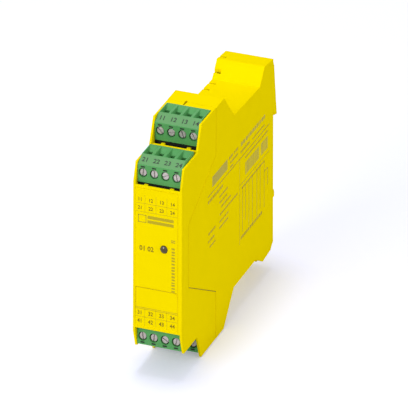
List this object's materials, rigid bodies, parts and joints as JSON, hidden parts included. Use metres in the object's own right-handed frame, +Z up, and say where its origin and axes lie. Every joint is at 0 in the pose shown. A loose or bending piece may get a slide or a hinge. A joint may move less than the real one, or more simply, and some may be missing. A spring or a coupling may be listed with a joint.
{
  "type": "safety relay",
  "caption": "Slim stepped plastic relay housing for a 35 mm rail, with four green pluggable screw terminal blocks, a status lamp and a sprung rail catch.",
  "frame": {"origin": "middle of the flat back that seats on the rail", "axes": "+X across the width, +Y from the front face back to the rail, +Z up"},
  "size_m": [0.0226, 0.1151, 0.0996],
  "materials": {
    "yellow_housing": "satin moulded",
    "green_plug": "satin moulded",
    "black_header": "satin moulded",
    "lamp_lens": "smoked, clear",
    "board": "lacquered laminate",
    "relay_case": "moulded",
    "capacitor_can": "sleeved",
    "chip_case": "moulded",
    "catch_plastic": "satin moulded",
    "spring_steel": "bright",
    "tinned_wire": "tinned",
    "tinned_brass": "tinned",
    "zinc_steel": "zinc plated"
  },
  "bodies": {
    "housing": {"base_housing": "yellow_housing", "front_housing": "yellow_housing", "status_lamp": "lamp_lens", "lamp_leads": "tinned_wire", "circuit_board": "board", "relay_k1": "relay_case", "relay_k2": "relay_case", "relay_pins": "tinned_wire", "capacitors": "capacitor_can", "chips": "chip_case", "catch_spring": "spring_steel", "header_pins": "tinned_brass", "header_upper_rear": "black_header", "header_upper_front": "black_header", "header_lower_front": "black_header", "header_lower_rear": "black_header"},
    "rail_catch": {"rail_catch": "catch_plastic"},
    "plug_upper_rear": {"plug_upper_rear": "green_plug", "contacts_upper_rear": "tinned_brass"},
    "screw_upper_rear_1": {"screw_upper_rear_1": "zinc_steel"},
    "clamp_upper_rear_1": {"clamp_upper_rear_1": "zinc_steel"},
    "screw_upper_rear_2": {"screw_upper_rear_2": "zinc_steel"},
    "clamp_upper_rear_2": {"clamp_upper_rear_2": "zinc_steel"},
    "screw_upper_rear_3": {"screw_upper_rear_3": "zinc_steel"},
    "clamp_upper_rear_3": {"clamp_upper_rear_3": "zinc_steel"},
    "screw_upper_rear_4": {"screw_upper_rear_4": "zinc_steel"},
    "clamp_upper_rear_4": {"clamp_upper_rear_4": "zinc_steel"},
    "plug_upper_front": {"plug_upper_front": "green_plug", "contacts_upper_front": "tinned_brass"},
    "screw_upper_front_1": {"screw_upper_front_1": "zinc_steel"},
    "clamp_upper_front_1": {"clamp_upper_front_1": "zinc_steel"},
    "screw_upper_front_2": {"screw_upper_front_2": "zinc_steel"},
    "clamp_upper_front_2": {"clamp_upper_front_2": "zinc_steel"},
    "screw_upper_front_3": {"screw_upper_front_3": "zinc_steel"},
    "clamp_upper_front_3": {"clamp_upper_front_3": "zinc_steel"},
    "screw_upper_front_4": {"screw_upper_front_4": "zinc_steel"},
    "clamp_upper_front_4": {"clamp_upper_front_4": "zinc_steel"},
    "plug_lower_front": {"plug_lower_front": "green_plug", "contacts_lower_front": "tinned_brass"},
    "screw_lower_front_1": {"screw_lower_front_1": "zinc_steel"},
    "clamp_lower_front_1": {"clamp_lower_front_1": "zinc_steel"},
    "screw_lower_front_2": {"screw_lower_front_2": "zinc_steel"},
    "clamp_lower_front_2": {"clamp_lower_front_2": "zinc_steel"},
    "screw_lower_front_3": {"screw_lower_front_3": "zinc_steel"},
    "clamp_lower_front_3": {"clamp_lower_front_3": "zinc_steel"},
    "screw_lower_front_4": {"screw_lower_front_4": "zinc_steel"},
    "clamp_lower_front_4": {"clamp_lower_front_4": "zinc_steel"},
    "plug_lower_rear": {"plug_lower_rear": "green_plug", "contacts_lower_rear": "tinned_brass"},
    "screw_lower_rear_1": {"screw_lower_rear_1": "zinc_steel"},
    "clamp_lower_rear_1": {"clamp_lower_rear_1": "zinc_steel"},
    "screw_lower_rear_2": {"screw_lower_rear_2": "zinc_steel"},
    "clamp_lower_rear_2": {"clamp_lower_rear_2": "zinc_steel"},
    "screw_lower_rear_3": {"screw_lower_rear_3": "zinc_steel"},
    "clamp_lower_rear_3": {"clamp_lower_rear_3": "zinc_steel"},
    "screw_lower_rear_4": {"screw_lower_rear_4": "zinc_steel"},
    "clamp_lower_rear_4": {"clamp_lower_rear_4": "zinc_steel"}
  },
  "joints": [
    {"name": "rail_catch_slide", "type": "slide", "parent": "housing", "child": "rail_catch", "axis": [0, 0, -1], "range_m": [0, 0.003], "stiffness_N_per_m": 1000, "springref_m": -0.002, "deforming": ["catch_spring"]},
    {"name": "plug_upper_rear_pull", "type": "slide", "parent": "housing", "child": "plug_upper_rear", "axis": [0, 0, 1], "range_m": [0, 0.02]},
    {"name": "screw_upper_rear_1_turn", "type": "hinge", "parent": "plug_upper_rear", "child": "screw_upper_rear_1", "pos_m": [-0.00762, -0.0881, 0.044], "axis": [0, 1, 0], "range_deg": [0, 1730]},
    {"name": "clamp_upper_rear_1_rise", "type": "slide", "parent": "plug_upper_rear", "child": "clamp_upper_rear_1", "axis": [0, -1, 0], "range_m": [0, 0.0024]},
    {"name": "screw_upper_rear_2_turn", "type": "hinge", "parent": "plug_upper_rear", "child": "screw_upper_rear_2", "pos_m": [-0.00254, -0.0881, 0.044], "axis": [0, 1, 0], "range_deg": [0, 1730]},
    {"name": "clamp_upper_rear_2_rise", "type": "slide", "parent": "plug_upper_rear", "child": "clamp_upper_rear_2", "axis": [0, -1, 0], "range_m": [0, 0.0024]},
    {"name": "screw_upper_rear_3_turn", "type": "hinge", "parent": "plug_upper_rear", "child": "screw_upper_rear_3", "pos_m": [0.00254, -0.0881, 0.044], "axis": [0, 1, 0], "range_deg": [0, 1730]},
    {"name": "clamp_upper_rear_3_rise", "type": "slide", "parent": "plug_upper_rear", "child": "clamp_upper_rear_3", "axis": [0, -1, 0], "range_m": [0, 0.0024]},
    {"name": "screw_upper_rear_4_turn", "type": "hinge", "parent": "plug_upper_rear", "child": "screw_upper_rear_4", "pos_m": [0.00762, -0.0881, 0.044], "axis": [0, 1, 0], "range_deg": [0, 1730]},
    {"name": "clamp_upper_rear_4_rise", "type": "slide", "parent": "plug_upper_rear", "child": "clamp_upper_rear_4", "axis": [0, -1, 0], "range_m": [0, 0.0024]},
    {"name": "plug_upper_front_pull", "type": "slide", "parent": "housing", "child": "plug_upper_front", "axis": [0, 0, 1], "range_m": [0, 0.02]},
    {"name": "screw_upper_front_1_turn", "type": "hinge", "parent": "plug_upper_front", "child": "screw_upper_front_1", "pos_m": [-0.00762, -0.1077, 0.0346], "axis": [0, 1, 0], "range_deg": [0, 1730]},
    {"name": "clamp_upper_front_1_rise", "type": "slide", "parent": "plug_upper_front", "child": "clamp_upper_front_1", "axis": [0, -1, 0], "range_m": [0, 0.0024]},
    {"name": "screw_upper_front_2_turn", "type": "hinge", "parent": "plug_upper_front", "child": "screw_upper_front_2", "pos_m": [-0.00254, -0.1077, 0.0346], "axis": [0, 1, 0], "range_deg": [0, 1730]},
    {"name": "clamp_upper_front_2_rise", "type": "slide", "parent": "plug_upper_front", "child": "clamp_upper_front_2", "axis": [0, -1, 0], "range_m": [0, 0.0024]},
    {"name": "screw_upper_front_3_turn", "type": "hinge", "parent": "plug_upper_front", "child": "screw_upper_front_3", "pos_m": [0.00254, -0.1077, 0.0346], "axis": [0, 1, 0], "range_deg": [0, 1730]},
    {"name": "clamp_upper_front_3_rise", "type": "slide", "parent": "plug_upper_front", "child": "clamp_upper_front_3", "axis": [0, -1, 0], "range_m": [0, 0.0024]},
    {"name": "screw_upper_front_4_turn", "type": "hinge", "parent": "plug_upper_front", "child": "screw_upper_front_4", "pos_m": [0.00762, -0.1077, 0.0346], "axis": [0, 1, 0], "range_deg": [0, 1730]},
    {"name": "clamp_upper_front_4_rise", "type": "slide", "parent": "plug_upper_front", "child": "clamp_upper_front_4", "axis": [0, -1, 0], "range_m": [0, 0.0024]},
    {"name": "plug_lower_front_pull", "type": "slide", "parent": "housing", "child": "plug_lower_front", "axis": [0, 0, -1], "range_m": [0, 0.02]},
    {"name": "screw_lower_front_1_turn", "type": "hinge", "parent": "plug_lower_front", "child": "screw_lower_front_1", "pos_m": [-0.00762, -0.1077, -0.0346], "axis": [0, 1, 0], "range_deg": [0, 1730]},
    {"name": "clamp_lower_front_1_rise", "type": "slide", "parent": "plug_lower_front", "child": "clamp_lower_front_1", "axis": [0, -1, 0], "range_m": [0, 0.0024]},
    {"name": "screw_lower_front_2_turn", "type": "hinge", "parent": "plug_lower_front", "child": "screw_lower_front_2", "pos_m": [-0.00254, -0.1077, -0.0346], "axis": [0, 1, 0], "range_deg": [0, 1730]},
    {"name": "clamp_lower_front_2_rise", "type": "slide", "parent": "plug_lower_front", "child": "clamp_lower_front_2", "axis": [0, -1, 0], "range_m": [0, 0.0024]},
    {"name": "screw_lower_front_3_turn", "type": "hinge", "parent": "plug_lower_front", "child": "screw_lower_front_3", "pos_m": [0.00254, -0.1077, -0.0346], "axis": [0, 1, 0], "range_deg": [0, 1730]},
    {"name": "clamp_lower_front_3_rise", "type": "slide", "parent": "plug_lower_front", "child": "clamp_lower_front_3", "axis": [0, -1, 0], "range_m": [0, 0.0024]},
    {"name": "screw_lower_front_4_turn", "type": "hinge", "parent": "plug_lower_front", "child": "screw_lower_front_4", "pos_m": [0.00762, -0.1077, -0.0346], "axis": [0, 1, 0], "range_deg": [0, 1730]},
    {"name": "clamp_lower_front_4_rise", "type": "slide", "parent": "plug_lower_front", "child": "clamp_lower_front_4", "axis": [0, -1, 0], "range_m": [0, 0.0024]},
    {"name": "plug_lower_rear_pull", "type": "slide", "parent": "housing", "child": "plug_lower_rear", "axis": [0, 0, -1], "range_m": [0, 0.02]},
    {"name": "screw_lower_rear_1_turn", "type": "hinge", "parent": "plug_lower_rear", "child": "screw_lower_rear_1", "pos_m": [-0.00762, -0.0881, -0.044], "axis": [0, 1, 0], "range_deg": [0, 1730]},
    {"name": "clamp_lower_rear_1_rise", "type": "slide", "parent": "plug_lower_rear", "child": "clamp_lower_rear_1", "axis": [0, -1, 0], "range_m": [0, 0.0024]},
    {"name": "screw_lower_rear_2_turn", "type": "hinge", "parent": "plug_lower_rear", "child": "screw_lower_rear_2", "pos_m": [-0.00254, -0.0881, -0.044], "axis": [0, 1, 0], "range_deg": [0, 1730]},
    {"name": "clamp_lower_rear_2_rise", "type": "slide", "parent": "plug_lower_rear", "child": "clamp_lower_rear_2", "axis": [0, -1, 0], "range_m": [0, 0.0024]},
    {"name": "screw_lower_rear_3_turn", "type": "hinge", "parent": "plug_lower_rear", "child": "screw_lower_rear_3", "pos_m": [0.00254, -0.0881, -0.044], "axis": [0, 1, 0], "range_deg": [0, 1730]},
    {"name": "clamp_lower_rear_3_rise", "type": "slide", "parent": "plug_lower_rear", "child": "clamp_lower_rear_3", "axis": [0, -1, 0], "range_m": [0, 0.0024]},
    {"name": "screw_lower_rear_4_turn", "type": "hinge", "parent": "plug_lower_rear", "child": "screw_lower_rear_4", "pos_m": [0.00762, -0.0881, -0.044], "axis": [0, 1, 0], "range_deg": [0, 1730]},
    {"name": "clamp_lower_rear_4_rise", "type": "slide", "parent": "plug_lower_rear", "child": "clamp_lower_rear_4", "axis": [0, -1, 0], "range_m": [0, 0.0024]}
  ],
  "couplings": [
    {"joint": "screw_upper_rear_1_turn", "follows": "clamp_upper_rear_1_rise", "rad_per_m": 12566},
    {"joint": "screw_upper_rear_2_turn", "follows": "clamp_upper_rear_2_rise", "rad_per_m": 12566},
    {"joint": "screw_upper_rear_3_turn", "follows": "clamp_upper_rear_3_rise", "rad_per_m": 12566},
    {"joint": "screw_upper_rear_4_turn", "follows": "clamp_upper_rear_4_rise", "rad_per_m": 12566},
    {"joint": "screw_upper_front_1_turn", "follows": "clamp_upper_front_1_rise", "rad_per_m": 12566},
    {"joint": "screw_upper_front_2_turn", "follows": "clamp_upper_front_2_rise", "rad_per_m": 12566},
    {"joint": "screw_upper_front_3_turn", "follows": "clamp_upper_front_3_rise", "rad_per_m": 12566},
    {"joint": "screw_upper_front_4_turn", "follows": "clamp_upper_front_4_rise", "rad_per_m": 12566},
    {"joint": "screw_lower_front_1_turn", "follows": "clamp_lower_front_1_rise", "rad_per_m": 12566},
    {"joint": "screw_lower_front_2_turn", "follows": "clamp_lower_front_2_rise", "rad_per_m": 12566},
    {"joint": "screw_lower_front_3_turn", "follows": "clamp_lower_front_3_rise", "rad_per_m": 12566},
    {"joint": "screw_lower_front_4_turn", "follows": "clamp_lower_front_4_rise", "rad_per_m": 12566},
    {"joint": "screw_lower_rear_1_turn", "follows": "clamp_lower_rear_1_rise", "rad_per_m": 12566},
    {"joint": "screw_lower_rear_2_turn", "follows": "clamp_lower_rear_2_rise", "rad_per_m": 12566},
    {"joint": "screw_lower_rear_3_turn", "follows": "clamp_lower_rear_3_rise", "rad_per_m": 12566},
    {"joint": "screw_lower_rear_4_turn", "follows": "clamp_lower_rear_4_rise", "rad_per_m": 12566}
  ]
}
